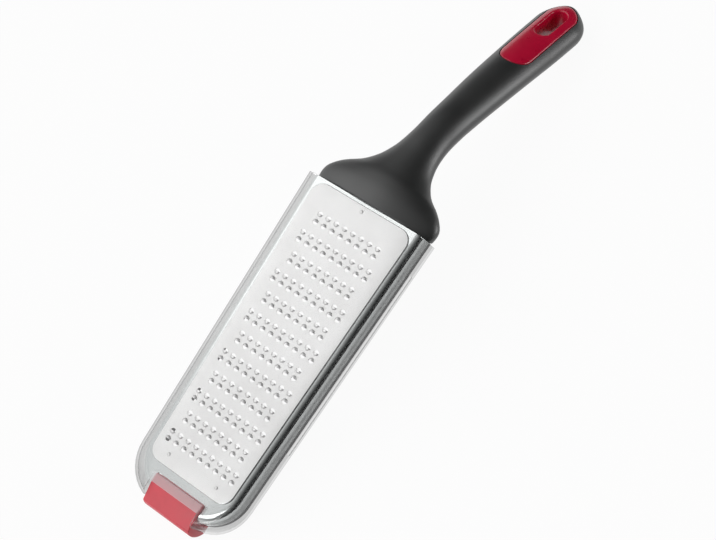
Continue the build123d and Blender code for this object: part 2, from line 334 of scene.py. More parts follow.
print("helpers: new_finish, add_noise, add_roughness, add_tint, add_bump, drifting_finish")

# %% [markdown]
# The sheet is stainless steel. Its plateau has a satin, brushed face that spreads the light
# into an even pale sheen, and the rolled rim round it is polished like a spoon. The brushing
# runs along the head, so the noise is stretched along Y and leans with the head. The shader's
# own anisotropy could stretch the sheen too, but it needs a map of directions.

# %% Steel finishes
lean = math.asin(-head_out.y)
satin_steel, shader = new_finish("satin_steel", (0.83, 0.83, 0.82), metallic=0.75)
hairlines = add_noise(satin_steel, 2600, 3.0, (1, 0.02, 1), lean)
clouds = add_noise(satin_steel, 45, 3.0)
add_roughness(satin_steel, hairlines, shader, 0.38, 0.50)
add_tint(satin_steel, clouds, shader, (0.80, 0.795, 0.79), (0.86, 0.86, 0.855))
add_bump(satin_steel, hairlines, shader, 0.000004)

polished_steel, shader = drifting_finish(
    "polished_steel",
    (0.53, 0.55, 0.55),
    drift=(60, 4.0, (1, 0.3, 1), lean),
    grain=(1800, 2.0, (1, 0.03, 1), lean),
    roughness=(0.10, 0.20),
    tones=((0.50, 0.52, 0.52), (0.56, 0.58, 0.575)),
    bump=0.0000015,
    metallic=1.0,
)
print("steel:", satin_steel.name, polished_steel.name)


# %% [markdown]
# One tooth: the punch pierces a hole and pushes half of the metal round it up into a hood
# with a sharp edge. The mesh is a small rectangular patch of the sheet, so that patches
# laid side by side make up the whole toothed field. Sixteen columns run from the patch's
# border to the hole; those behind the hole climb the hood, the others end at its rim. The
# plate has 204 teeth, so each has to do with few faces: three steps up the hood are enough.

# %% One tooth
tooth_pitch = 0.0052
row_pitch = 0.01134
pair_spread = 0.0044
hood_radius = 0.0016
hood_height = 0.0009
hood_foot = 0.00035
hole_radius = 0.0013
hole_dip = 0.00006
tooth_columns = 16
hood_climbs = (0, 0.35, 0.7, 1)
tooth_weld = 0.000001


def patch_border(column):
    """The point on the patch's rectangle for a column, counted from its lower right."""
    side, step = divmod(column, tooth_columns // 4)
    share = step / (tooth_columns // 4)
    right, length, low = tooth_pitch / 2, row_pitch / 2, -pair_spread / 2
    return (
        Vector((right, low + length * share, 0)),
        Vector((right - tooth_pitch * share, low + length, 0)),
        Vector((-right, low + length * (1 - share), 0)),
        Vector((tooth_pitch * share - right, low, 0)),
    )[side]


def tooth_point(column, climb):
    """A point of the tooth: a climb of 0 is the hood's foot and 1 is its edge, or for the
    open half the way from there to the hole's rim."""
    angle = math.tau * (column / tooth_columns - 1 / 8)
    east, north = math.cos(angle), math.sin(angle)
    if north > 0:
        radius = hood_radius + (hole_radius - hood_radius) * climb * north
        return Vector((radius * east, radius * north, -hole_dip * climb * north))
    rise = climb * math.pi / 2
    return Vector((
        hood_radius * east,
        hood_radius * north * math.cos(rise),
        -hood_height * north * math.sin(rise),
    ))


def foot_point(column):
    spread = (hood_radius + hood_foot) / hood_radius
    point = tooth_point(column, 0) * spread
    return Vector((point.x, point.y, 0))


tooth_rings = [[patch_border(column) for column in range(tooth_columns)]]
tooth_rings.append([foot_point(column) for column in range(tooth_columns)])
for climb in hood_climbs:
    tooth_rings.append([tooth_point(column, climb) for column in range(tooth_columns)])
tooth_data, _ = loft(tooth_rings)
bmesh.ops.remove_doubles(tooth_data, verts=tooth_data.verts, dist=tooth_weld)
tooth = mesh_object("tooth", tooth_data, [satin_steel])
print("faces in a tooth:", len(tooth.data.polygons))


# %% [markdown]
# The teeth stand in pairs, back to back, and every other row has one pair fewer and sits
# half a pitch aside. A rule like that is work for Geometry Nodes, where each size is a named
# input that can be changed later. An array modifier could repeat one row, but it can't leave
# out the last pair of every other one. First come the tree and its inputs.

# %% Inputs of the tree for the teeth
tree = bpy.data.node_groups.new("rasp_teeth", "GeometryNodeTree")
tree.interface.new_socket("Geometry", in_out="OUTPUT", socket_type="NodeSocketGeometry")
tree_inputs = {}
for socket_name, socket_kind in (
    ("Tooth", "Object"),
    ("Rows", "Int"),
    ("Long row", "Int"),
    ("Tooth pitch", "Float"),
    ("Row pitch", "Float"),
    ("Pair spread", "Float"),
    ("Root margin", "Float"),
    ("Finish", "Material"),
):
    socket = tree.interface.new_socket(
        socket_name, in_out="INPUT", socket_type="NodeSocket" + socket_kind
    )
    tree_inputs[socket_name] = socket.identifier
given = tree.nodes.new("NodeGroupInput").outputs


def tree_node(kind, inputs=None):
    return add_node(tree, kind, inputs)


def tree_math(operation, first, second):
    return add_math(tree, operation, first, second)


print("inputs of the tree:", sorted(tree_inputs))

# %% [markdown]
# The rows are a grid of points. Blender counts them along the head first, from the tip up,
# and then across, so a little arithmetic on a point's index gives its row and its column.
# Short rows move aside by half a pitch, and their last point is deleted.

# %% Rows of points
last_row = tree_math("SUBTRACT", given["Rows"], 1)
last_column = tree_math("SUBTRACT", given["Long row"], 1)
field_width = tree_math("MULTIPLY", last_column, given["Tooth pitch"])
field_length = tree_math("MULTIPLY", last_row, given["Row pitch"])
grid = tree_node("GeometryNodeMeshGrid", {
    "Size X": field_width,
    "Size Y": field_length,
    "Vertices X": given["Long row"],
    "Vertices Y": given["Rows"],
})["Mesh"]
index = tree_node("GeometryNodeInputIndex")["Index"]
from_tip = tree_math("MODULO", index, given["Rows"])
from_root = tree_math("SUBTRACT", last_row, from_tip)
long_row = tree_math("MODULO", from_root, 2)
short_row = tree_math("SUBTRACT", 1, long_row)
column = tree_math("FLOOR", tree_math("DIVIDE", index, given["Rows"]), 0)
half_pitch = tree_math("MULTIPLY", given["Tooth pitch"], 0.5)
aside = tree_math("MULTIPLY", short_row, half_pitch)
field_middle = tree_math("MULTIPLY", field_length, -0.5)
down = tree_math("SUBTRACT", field_middle, given["Root margin"])
shift = tree_node("ShaderNodeCombineXYZ", {"X": aside, "Y": down})["Vector"]
rows = tree_node("GeometryNodeSetPosition", {"Geometry": grid, "Offset": shift})
is_last = tree_math("GREATER_THAN", tree_math("ADD", column, 0.5), last_column)
surplus = tree_math("MULTIPLY", is_last, short_row)
kept = tree_node("GeometryNodeDeleteGeometry", {
    "Geometry": rows["Geometry"],
    "Selection": tree_math("GREATER_THAN", surplus, 0.5),
})["Geometry"]
print("nodes for the rows:", len(tree.nodes))

# %% [markdown]
# The tooth is instanced twice on each point, the second time turned round, so that a pair
# stands back to back. Instances are only references to one mesh, so the tree ends by making
# them real and giving them the steel.

# %% Teeth on the points
tooth_shape = tree_node("GeometryNodeObjectInfo", {"Object": given["Tooth"]})["Geometry"]
joined = tree.nodes.new("GeometryNodeJoinGeometry")
for way, turn in ((0.5, 0), (-0.5, math.pi)):
    apart = tree_math("MULTIPLY", given["Pair spread"], way)
    offset = tree_node("ShaderNodeCombineXYZ", {"Y": apart})["Vector"]
    points = tree_node("GeometryNodeSetPosition", {"Geometry": kept, "Offset": offset})
    placed = tree_node("GeometryNodeInstanceOnPoints", {
        "Points": points["Geometry"],
        "Instance": tooth_shape,
        "Rotation": (0, 0, turn),
    })["Instances"]
    tree.links.new(placed, joined.inputs["Geometry"])
real = tree_node("GeometryNodeRealizeInstances", {"Geometry": joined.outputs["Geometry"]})
finished = tree_node("GeometryNodeSetMaterial", {
    "Geometry": real["Geometry"],
    "Material": given["Finish"],
})["Geometry"]
tree_node("NodeGroupOutput", {"Geometry": finished})
print("nodes in the tree:", len(tree.nodes))


# %% [markdown]
# The tree runs as a modifier on a carrier object with nothing in it. Its sizes go in through
# the sockets' identifiers, because names may be given twice. The evaluated result becomes a
# plain mesh, and the carrier and the single tooth are thrown away.

# %% Run the tree
row_count = 12
long_row_teeth = 9
row_root_margin = 0.018
carrier = mesh_object("tooth_field", bmesh.new(), [satin_steel])
teeth = carrier.modifiers.new("teeth", "NODES")
teeth.node_group = tree
for socket_name, value in (
    ("Tooth", tooth),
    ("Rows", row_count),
    ("Long row", long_row_teeth),
    ("Tooth pitch", tooth_pitch),
    ("Row pitch", row_pitch),
    ("Pair spread", pair_spread),
    ("Root margin", row_root_margin),
    ("Finish", satin_steel),
):
    teeth[tree_inputs[socket_name]] = value
applied(carrier)
tooth_field = carrier.data
bpy.data.objects.remove(carrier)
bpy.data.objects.remove(tooth)
print("faces in the toothed field:", len(tooth_field.polygons))


# %% [markdown]
# The plate is a drawn tray. From the toothed field outwards its skin runs over the plateau,
# down a crisp little step, over the polished roll and down the flange. Extruding the edge of
# a flat outline would do as well, but the roll narrows evenly all round, and rings say that
# with one number, their inset. Two kinds of ring are enough: one for the plateau, one for
# the rim.

# %% Rings of the plate
plateau_side_margin = 0.0041
plateau_root_margin = 0.0017
plateau_tip_margin = 0.0138
plateau_corner = 0.007
plate_corner = 0.0205
plate_root = 0.0002
flange_depth = 0.009
rim_drop = 0.0008
rim_roll = 0.0040
step_round = 0.00012
root_edge_corner = 0.0004


def plateau_ring(outset, height):
    return head_ring(
        plate_half_width - plateau_side_margin + outset,
        plateau_root_margin - outset,
        plate_length - plateau_tip_margin + outset,
        plateau_corner + outset,
        plateau_corner + outset,
        height,
    )


def rim_ring(inset, root, height):
    return head_ring(
        plate_half_width - inset,
        root,
        plate_length - inset,
        root_edge_corner,
        plate_corner - inset,
        height,
    )


print("points in a ring of the plate:", len(plateau_ring(0, 0)))

# %% [markdown]
# The skin is one loft of these rings, and the roll is a quarter circle in nine steps. At the
# root the sheet goes down only as far as the tab that holds it in the handle. The notch for
# the foot is cut while the skin is still thin.

# %% The plate's skin
roll_steps = 9
tab_depth = 0.006
sheet = 0.0006
notch_half_width = 0.0154
notch_back = -0.1606
plate_rings = [
    plateau_ring(-2 * step_round, 0),
    plateau_ring(-step_round, -step_round / 4),
    plateau_ring(0, -step_round),
    plateau_ring(step_round / 2, step_round - rim_drop),
    plateau_ring(step_round, -rim_drop),
    rim_ring(rim_roll, plateau_root_margin / 2, -rim_drop),
]
for step in range(1, roll_steps + 1):
    angle = math.pi / 2 * step / roll_steps
    inset = rim_roll * (1 - math.sin(angle))
    plate_rings.append(rim_ring(inset, plate_root, -rim_drop - rim_roll * (1 - math.cos(angle))))
plate_rings.append(rim_ring(0, plate_root, -flange_depth))
plate_data, plate_rows = loft(plate_rings)
for face in plate_data.faces:
    face.material_index = 1
for row in plate_rows:
    for vertex in row:
        if vertex.co.y > -2 * plate_root and abs(vertex.co.x) < plate_half_width - sheet:
            vertex.co.z = max(vertex.co.z, -tab_depth)
cut_notch(plate_data, notch_half_width, notch_back)
print("rings in the plate:", len(plate_rings), "faces:", len(plate_data.faces))

# %% [markdown]
# Between the stepped border of the toothed field and the first ring the plateau is flat.
# Triangles can fill any flat stretch between closed lines, whatever their count of points,
# so the field, the first ring and the feet of three little dimples become one surface. The
# dimples are pressed up from the plateau, two near the tip and one near the handle.

# %% Join the toothed field to the plate
dimple_radius = 0.0010
dimple_places = (
    (-0.0156, -0.1509),
    (0.0156, -0.1509),
    (0.0, -0.0048),
)
field_weld = 0.00001
plate_data.from_mesh(tooth_field)
bmesh.ops.remove_doubles(plate_data, verts=plate_data.verts, dist=field_weld)
flat = hole_dip / 4
field_border = []
for edge in plate_data.edges:
    if edge.is_boundary and all(abs(vertex.co.z) < flat for vertex in edge.verts):
        field_border.append(edge)
dimple_loops = []
for dimple_x, dimple_y in dimple_places:
    loop = []
    for step in range(tooth_columns):
        angle = math.tau * step / tooth_columns
        reach = Vector((math.cos(angle), math.sin(angle), 0)) * dimple_radius
        loop.append(plate_data.verts.new(Vector((dimple_x, dimple_y, 0)) + reach))
    dimple_loops.append(loop)
    for start, end in zip(loop, loop[1:] + loop[:1]):
        field_border.append(plate_data.edges.new((start, end)))
bmesh.ops.triangle_fill(plate_data, use_beauty=True, edges=field_border)
print("edges round the flat stretch:", len(field_border))

# %% [markdown]
# Each dimple is a small crown of rings over its loop, like half of a flattened ball. The
# steel is seen from above, so all faces are made to point that way before they get a wall.

# %% Dimples of the plate
dimple_height = 0.00035
dimple_rings = 3
for loop in dimple_loops:
    middle = sum((vertex.co for vertex in loop), Vector()) / len(loop)
    below = loop
    for step in range(1, dimple_rings):
        rise = math.pi / 2 * step / dimple_rings
        lift = Vector((0, 0, dimple_height * math.sin(rise)))
        above = []
        for vertex in loop:
            point = middle + (vertex.co - middle) * math.cos(rise) + lift
            above.append(plate_data.verts.new(point))
        for spot in range(len(loop)):
            after = (spot + 1) % len(loop)
            plate_data.faces.new((below[spot], below[after], above[after], above[spot]))
        below = above
    crown = plate_data.verts.new(middle + Vector((0, 0, dimple_height)))
    for spot in range(len(below)):
        plate_data.faces.new((below[spot], below[(spot + 1) % len(below)], crown))
bmesh.ops.recalc_face_normals(plate_data, faces=plate_data.faces)
highest = max(plate_data.faces, key=lambda face: face.calc_center_median().z)
if highest.normal.z < 0:
    bmesh.ops.reverse_faces(plate_data, faces=plate_data.faces)
for face in plate_data.faces:
    face.normal_update()
plateau_faces = sum(face.material_index == 0 for face in plate_data.faces)
print("faces of the plateau:", plateau_faces, "of", len(plate_data.faces))

# %% [markdown]
# Solidify gives the skin its wall on the inner side, as thick as the real sheet, which is
# surer than lofting a second skin by hand. A tab at the root goes into the handle. The whole
# plate then moves from the head's frame to its place in the world, inside its mesh.

# %% Wall and tab of the plate
def add_block(data, low, high):
    """A box from its low corner to its high one."""
    made = bmesh.ops.create_cube(data, size=1)["verts"]
    size = Vector(high) - Vector(low)
    for vertex in made:
        vertex.co = Vector(low) + Vector(
            (vertex.co[axis] + 0.5) * size[axis] for axis in range(3)
        )


steel_plate = mesh_object("steel_plate", plate_data, [satin_steel, polished_steel])
wall = steel_plate.modifiers.new("wall", "SOLIDIFY")
wall.thickness = sheet
wall.offset = -1
applied(steel_plate)

tab_half_width = 0.011
tab_length = 0.012
tab_data = bmesh.new()
tab_data.from_mesh(steel_plate.data)
add_block(
    tab_data,
    (-tab_half_width, -plate_root - sheet, -tab_depth),
    (tab_half_width, tab_length, sheet - tab_depth),
)
tab_data.to_mesh(steel_plate.data)
tab_data.free()
steel_plate.data.transform(head)
shade_by_angle(steel_plate, degrees=40)
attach(steel_plate, "rasp")
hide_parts("grating_plate")
print("faces in the plate:", len(steel_plate.data.polygons))


# %% [markdown]
# The frame under the plate, the core inside the handle and its two rivets have the right
# shape in the construction, and little of them shows, so they stay, with better finishes.
# Moulded black plastic shows a fine matt grain from the spark-eroded mould, and the turned
# heads of the rivets have a bright, even grain.

# %% Finishes of the pieces that stay
frame_plastic, shader = drifting_finish(
    "frame_plastic",
    (0.018, 0.018, 0.019),
    drift=(70, 2.0),
    grain=(2200, 2.0),
    roughness=(0.42, 0.55),
    tones=((0.016, 0.016, 0.017), (0.024, 0.024, 0.025)),
    bump=0.00002,
    specular=0.4,
)
rivet_steel, shader = drifting_finish(
    "rivet_steel",
    (0.62, 0.62, 0.62),
    drift=(1500, 2.0),
    grain=(1500, 2.0),
    roughness=(0.25, 0.40),
    tones=((0.56, 0.56, 0.56), (0.66, 0.66, 0.66)),
    bump=0.000004,
    metallic=1.0,
)


def refinish(node_name, material):
    materials = frame["nodes"][node_name].data.materials
    materials.clear()
    materials.append(material)


refinish("plate_frame", frame_plastic)
refinish("handle_core", frame_plastic)
refinish("root_rivets", rivet_steel)
print("refinished: plate_frame, handle_core, root_rivets")


# %% [markdown]
# The handle is one long bend. Fifteen stations say where its middle line runs and how wide
# and how high it is there, as shares of a few sizes, and a smooth curve through them gives
# as many sections as the surface needs. A curve object with a bevel could follow the bend,
# but its section would only grow and shrink, while the handle's also changes its form.

# %% The handle's stations
handle_reach = 0.132
handle_drop = 0.0593
shoulder_depth = 0.007
# Shares of the reach, the drop, the half width, the flare, the crown and the belly
station_shares = [
    (0.000, 0.000, 1.000, 1.000, 1.18, 0.77),
    (0.030, 0.006, 1.000, 1.018, 1.18, 0.78),
    (0.061, 0.017, 1.000, 0.977, 1.19, 0.79),
    (0.087, 0.029, 1.000, 0.857, 1.18, 0.80),
    (0.110, 0.041, 1.000, 0.696, 1.16, 0.81),
    (0.136, 0.057, 1.000, 0.438, 1.10, 0.83),
    (0.178, 0.085, 1.000, 0.180, 1.04, 0.87),
    (0.239, 0.125, 0.930, 0.026, 0.97, 0.92),
    (0.322, 0.180, 0.803, 0.000, 0.93, 0.94),
    (0.417, 0.263, 0.796, 0.000, 0.93, 0.95),
    (0.500, 0.358, 0.825, 0.000, 0.94, 0.97),
    (0.636, 0.523, 0.898, 0.000, 0.98, 1.00),
    (0.765, 0.691, 0.950, 0.000, 1.02, 1.03),
    (0.902, 0.873, 0.993, 0.000, 1.04, 1.07),
    (1.000, 1.000, 1.000, 0.000, 1.03, 1.10),
]


def shares_at(reach_share):
    """The row of shares at any reach, on a cubic curve through the stations. Its slope at
    a station comes from both neighbours, weighted by how near they are."""
    rows = station_shares
    spot = max(i for i in range(len(rows) - 1) if rows[i][0] <= reach_share or i == 0)
    start, end = rows[spot], rows[spot + 1]
    gap = end[0] - start[0]
    share = (reach_share - start[0]) / gap

    def slope(index, column):
        here = rows[index]
        before, after = rows[max(index - 1, 0)], rows[min(index + 1, len(rows) - 1)]
        back, ahead = here[0] - before[0], after[0] - here[0]
        if not back:
            return (after[column] - here[column]) / ahead
        if not ahead:
            return (here[column] - before[column]) / back
        falling = (here[column] - before[column]) / back
        rising = (after[column] - here[column]) / ahead
        return (falling * ahead + rising * back) / (back + ahead)

    mixed = [reach_share]
    for column in range(1, 6):
        first, last = start[column], end[column]
        turn_in, turn_out = slope(spot, column) * gap, slope(spot + 1, column) * gap
        square, cube = share**2, share**3
        mixed.append(
            first * (2 * cube - 3 * square + 1)
            + turn_in * (cube - 2 * square + share)
            + last * (3 * square - 2 * cube)
            + turn_out * (cube - square)
        )
    return mixed


def middle_line(reach_share):
    drop = shares_at(reach_share)[1]
    return Vector((0, reach_share * handle_reach, -shoulder_depth - drop * handle_drop))


print("the handle's middle ends at", tuple(round(v, 4) for v in middle_line(1.0)))

# %% [markdown]
# A section is an oval with two soft corners: a wide crown on top, sides that bulge a little,
# and a belly below that is narrower. It is drawn from arcs, and a few passes that move each
# point towards its neighbours soften the corners, as the moulder's radii do.

# %% A section across the handle
crown_points = 24
side_points = 6
belly_points = 16
smooth_passes = 3
edge_depth_share = 0.72
side_bulge_share = 0.1


def arc_over(half_width, rise, count):
    """Points of the arc over a chord, from its left end to just before its right end."""
    radius = (half_width**2 + rise**2) / (2 * rise)
    reach = math.atan2(half_width, radius - rise)
    points = []
    for step in range(count):
        angle = reach * (2 * step / count - 1)
        points.append((radius * math.sin(angle), rise - radius + radius * math.cos(angle)))
    return points


def side_arc(half_width, edge, depth):
    bulge = (half_width + edge) / 2 + side_bulge_share * depth
    points = []
    for step in range(side_points):
        share = step / side_points
        wide = (1 - share) * (1 - 2 * share) * half_width
        wide += 4 * share * (1 - share) * bulge + share * (2 * share - 1) * edge
        points.append((wide, -depth * share))
    return points


def section_ring(half_width, edge, crown, belly, origin, slope):
    """One closed section, square to the middle line, which falls at the given slope."""
    depth = edge_depth_share * belly
    right = side_arc(half_width, edge, depth)
    below = [(-x, -y - depth) for x, y in arc_over(edge, belly - depth, belly_points)]
    left = side_arc(half_width, edge, depth) + [(edge, -depth)]
    left = [(-x, y) for x, y in reversed(left[1:])]
    flat = arc_over(half_width, crown, crown_points) + right + below + left
    for _ in range(smooth_passes):
        flat = [
            tuple(
                (flat[i - 1][axis] + 2 * flat[i][axis] + flat[(i + 1) % len(flat)][axis]) / 4
                for axis in range(2)
            )
            for i in range(len(flat))
        ]
    upwards = Vector((0, -math.sin(slope), math.cos(slope)))
    return [origin + Vector((x, 0, 0)) + upwards * y for x, y in flat]


print("points in a section:", crown_points + 2 * side_points + belly_points)

# %% [markdown]
# Along the handle a section stands square to the middle line, so each needs the line's slope
# there. At the front it stands upright instead, flat against the head. The end is rounded by
# sections that shrink past the last station.

# %% Rings along the handle
shoulder_half_width = 0.0354
grip_half_width = 0.014
grip_crown = 0.0072
grip_belly = 0.0104
grip_edge_share = 0.72
flare_edge_share = 0.97
slope_reach = 0.002
upright_share = 0.03
cap_height_power = 0.36


def slope_at(reach_share):
    low, high = max(reach_share - slope_reach, 0), min(reach_share + slope_reach, 1)
    way = middle_line(high) - middle_line(low)
    return math.atan2(way.z, way.y)


end_slope = slope_at(1.0)


def handle_ring(reach_share, inset=0.0):
    _, _, swell, flare, crown, belly = shares_at(reach_share)
    half_width = grip_half_width * swell
    half_width += (shoulder_half_width - grip_half_width) * flare
    flared = min(max(flare, 0), 1)
    edge = half_width * (grip_edge_share + (flare_edge_share - grip_edge_share) * flared)
    slope = slope_at(reach_share) * min(reach_share / upright_share, 1)
    return section_ring(
        half_width - inset,
        edge - inset,
        crown * grip_crown - inset,
        belly * grip_belly - inset,
        middle_line(reach_share),
        slope,
    )


def cap_ring(share):
    """A section of the rounded end, a share of the grip's half width past the last."""
    rounding = math.sqrt(1 - share**2)
    height = rounding**cap_height_power
    step = Vector((0, math.cos(end_slope), math.sin(end_slope))) * share * grip_half_width
    _, _, swell, _, crown, belly = shares_at(1.0)
    half_width = grip_half_width * swell * rounding
    return section_ring(
        half_width,
        half_width * grip_edge_share,
        crown * grip_crown * height,
        belly * grip_belly * height,
        middle_line(1.0) + step,
        end_slope,
    )


print("the handle ends with a slope of", round(math.degrees(end_slope), 1), "degrees")


# %% [markdown]
# The grip is rubber moulded over the core. Its skin is lofted from inside out: along the
# hollow for the core, round the front edge and back along the outside to the rounded end.
# Before anything is cut out of it, a search tree keeps its surface, so that the red insert
# can later be laid flush with it.

# %% The grip's body
ring_count = 96
grip_wall = 0.0021
core_reach_share = 0.682
front_edge = ((0.0, 0.0006), (0.0016, 0.0002), (0.005, 0.0))
cap_shares = (0.12, 0.25, 0.38, 0.5, 0.62, 0.72, 0.81, 0.88, 0.94, 0.975, 0.995)
hollow = [
    handle_ring(step / ring_count, grip_wall)
    for step in range(int(core_reach_share * ring_count), -1, -1)
]
outside = [handle_ring(share, inset) for share, inset in front_edge]
outside += [handle_ring(step / ring_count) for step in range(1, ring_count + 1)]
outside += [cap_ring(share) for share in cap_shares]
grip_data, grip_rows = loft(hollow + outside)
for row in (grip_rows[0], grip_rows[-1]):
    middle = grip_data.verts.new(sum((vertex.co for vertex in row), Vector()) / len(row))
    for spot in range(len(row)):
        grip_data.faces.new((row[spot], row[(spot + 1) % len(row)], middle))
bmesh.ops.recalc_face_normals(grip_data, faces=grip_data.faces)
grip_surface = BVHTree.FromBMesh(grip_data)
print("faces in the grip:", len(grip_data.faces))


# %% [markdown]
# The insert sits in the end of the handle, and the handle hangs by the loop through it. All
# of its outlines are slots: a bar with two round ends. It is one closed loft of such slots:
# up the flange, over the top to the loop, down through the handle, and back up outside the
# liner. The same slots, a hair wider, cut its pocket out of the grip.

# %% Slots for the insert
insert_length = 0.0525
insert_width = 0.0175
insert_end_margin = 0.0024
insert_flange = 0.005
loop_length = 0.0215
loop_width = 0.0086
loop_rim = 0.0056
loop_wall = 0.0016
seam = 0.0002
overrun = 0.03
slot_end_steps = 14
slot_side_steps = 8

insert_step = grip_half_width - insert_end_margin - insert_length / 2
loop_place = insert_length / 2 - loop_rim - loop_length / 2
handle_way = Vector((0, math.cos(end_slope), math.sin(end_slope)))
handle_up = Vector((0, -math.sin(end_slope), math.cos(end_slope)))
hang = Matrix.Translation(middle_line(1.0) + handle_way * insert_step) @ Matrix(
    (handle_way, handle_up.cross(handle_way), handle_up)
).transposed().to_4x4()


def slot_points(length, width, place):
    """A slot round a place along the handle, as flat points in the insert's frame."""
    radius = width / 2
    straight = length / 2 - radius
    points = []
    for end in (1, -1):
        for step in range(slot_end_steps):
            angle = math.pi * (step / slot_end_steps - 0.5)
            points.append((
                place + end * (straight + radius * math.cos(angle)),
                end * radius * math.sin(angle),
            ))
        for step in range(slot_side_steps):
            share = step / slot_side_steps
            points.append((place + end * straight * (1 - 2 * share), end * radius))
    return points


def slot_ring(length, width, place, height):
    return [Vector((x, y, height)) for x, y in slot_points(length, width, place)]


def slot_solid(name, length, width, place, low, high):
    data, rows = loft([
        slot_ring(length, width, place, low),
        slot_ring(length, width, place, high),
    ])
    for row in rows:
        data.faces.new(row)
    bmesh.ops.recalc_face_normals(data, faces=data.faces)
    data.transform(hang)
    return mesh_object(name, data, [])


print("the loop's middle lies", round(loop_place * 1000, 1), "mm past the insert's middle")

# %% [markdown]
# The soft-touch rubber of the grip is charcoal with a dull, wide sheen. The tone drifts very
# slightly, and a fine grain breaks up the highlight as the texture of the mould does. The
# pocket is cut by two solids of slots, because its edge has to cross the curved surface
# wherever the slot meets it. A Boolean modifier finds that line by itself.

# %% Cut the pocket and finish the grip
soft_rubber, shader = drifting_finish(
    "soft_rubber",
    (0.015, 0.016, 0.016),
    drift=(38, 3.0),
    grain=(2600, 2.0),
    roughness=(0.36, 0.46),
    tones=((0.013, 0.014, 0.014), (0.018, 0.019, 0.019)),
    bump=0.000012,
    specular=1.0,
)
soft_grip = mesh_object("soft_grip", grip_data, [soft_rubber])
liner_length = loop_length + 2 * (loop_wall + seam)
liner_width = loop_width + 2 * (loop_wall + seam)
pocket_gap = 2 * seam
pocket_length = insert_length + 2 * pocket_gap
pocket_width = insert_width + 2 * pocket_gap
pocket_floor = grip_crown - insert_flange - seam
cutters = [
    slot_solid("pocket", pocket_length, pocket_width, 0, pocket_floor, overrun),
    slot_solid("liner", liner_length, liner_width, loop_place, -overrun, overrun),
]
for cutter in cutters:
    cut = soft_grip.modifiers.new(cutter.name, "BOOLEAN")
    cut.operation = "DIFFERENCE"
    cut.solver = "EXACT"
    cut.object = cutter
applied(soft_grip)
for cutter in cutters:
    bpy.data.objects.remove(cutter)
soft_grip.data.transform(head)
shade_by_angle(soft_grip, degrees=38)
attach(soft_grip, "rasp")
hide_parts("handle_grip")
print("faces after the cut:", len(soft_grip.data.polygons))


# %% [markdown]
# The insert is glossy red plastic, and its top carries on the curve of the grip. Measuring
# that curve is surer than modelling it twice: for each point of the insert a ray looks at
# the kept surface of the grip and gives its height there, from above or from below.

# %% Gloss red, and the height of the grip
gloss_red, shader = drifting_finish(
    "gloss_red",
    (0.52, 0.004, 0.036),
    drift=(90, 3.0),
    grain=(1600, 2.0),
    roughness=(0.24, 0.34),
    tones=((0.48, 0.003, 0.032), (0.56, 0.005, 0.041)),
    bump=0.000006,
    specular=0.4,
)
shader.inputs["Coat Weight"].default_value = 0.35
shader.inputs["Coat Roughness"].default_value = 0.08


def surface_height(x, y, side):
    """How high the grip's surface lies over a point, seen from above or from below."""
    start = hang @ Vector((x, y, side * overrun))
    hit = grip_surface.ray_cast(start, handle_up * -side)[0]
    return (hang.inverted() @ hit).z


def surface_ring(points, side, set_back):
    return [
        Vector((x, y, surface_height(x, y, side) - side * set_back)) for x, y in points
    ]


def between(first, second, share):
    """Flat points on the way from one outline to another of as many points."""
    return [
        (a[0] + (b[0] - a[0]) * share, a[1] + (b[1] - a[1]) * share)
        for a, b in zip(first, second)
    ]


print("the grip's top over the insert's middle:", round(surface_height(0, 0, 1), 5))

# %% [markdown]
# From the outside in there are four outlines: the edge of the insert, the end of its small
# rounding, the start of the lip and the loop. Between two of them lie rings at shares of the
# way, each set back from the surface by a little, and that rounds both edges over. The top
# between them is flush and plain. The slots of the liner close the shape from below.

# %% The red insert
insert_round = 0.00045
lip_reach = 0.0011
edge_set_backs = ((0, 0.0005), (0.25, 0.0002), (0.6, 0.00005))
top_shares = (0, 0.15, 0.3, 0.45, 0.6, 0.75, 0.9)
lip_set_backs = ((0, 0), (0.35, 0.00008), (0.65, 0.0003), (0.88, 0.00065), (1, 0.0012))
liner_set_backs = ((0, 0.0004), (0.25, 0.0001), (0.75, 0.0001), (1, 0.0004))
outer_slot = slot_points(insert_length, insert_width, 0)
edge_slot = slot_points(insert_length - 2 * insert_round, insert_width - 2 * insert_round, 0)
lip_slot = slot_points(loop_length + 2 * lip_reach, loop_width + 2 * lip_reach, loop_place)
loop_slot = slot_points(loop_length, loop_width, loop_place)
liner_slot = slot_points(loop_length + 2 * loop_wall, loop_width + 2 * loop_wall, loop_place)
flange_bottom = grip_crown - insert_flange

insert_rings = [[Vector((x, y, flange_bottom)) for x, y in outer_slot]]
for share, set_back in edge_set_backs:
    insert_rings.append(surface_ring(between(outer_slot, edge_slot, share), 1, set_back))
for share in top_shares:
    insert_rings.append(surface_ring(between(edge_slot, lip_slot, share), 1, 0))
for share, set_back in lip_set_backs:
    insert_rings.append(surface_ring(between(lip_slot, loop_slot, share), 1, set_back))
for share, set_back in liner_set_backs:
    insert_rings.append(surface_ring(between(loop_slot, liner_slot, share), -1, set_back))
insert_rings.append([Vector((x, y, flange_bottom)) for x, y in liner_slot])
insert_data, _ = loft(insert_rings, closed=True)
bmesh.ops.recalc_face_normals(insert_data, faces=insert_data.faces)
red_insert = mesh_object("red_insert", insert_data, [gloss_red])
red_insert.data.transform(head @ hang)
shade_by_angle(red_insert, degrees=50)
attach(red_insert, "rasp")
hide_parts("hang_insert")
print("faces in the insert:", len(red_insert.data.polygons))


# %% [markdown]
# The foot is a soft jaw, pressed over the tip of the frame, so that the zester doesn't slip
# on a board. Its profile runs all along its width, so one outline says all of it: the top
# and its slope, a bulging nose, the flat sole, and the mouth that holds the frame. The nose
# is an arc through three points, which are easier to measure than its centre.

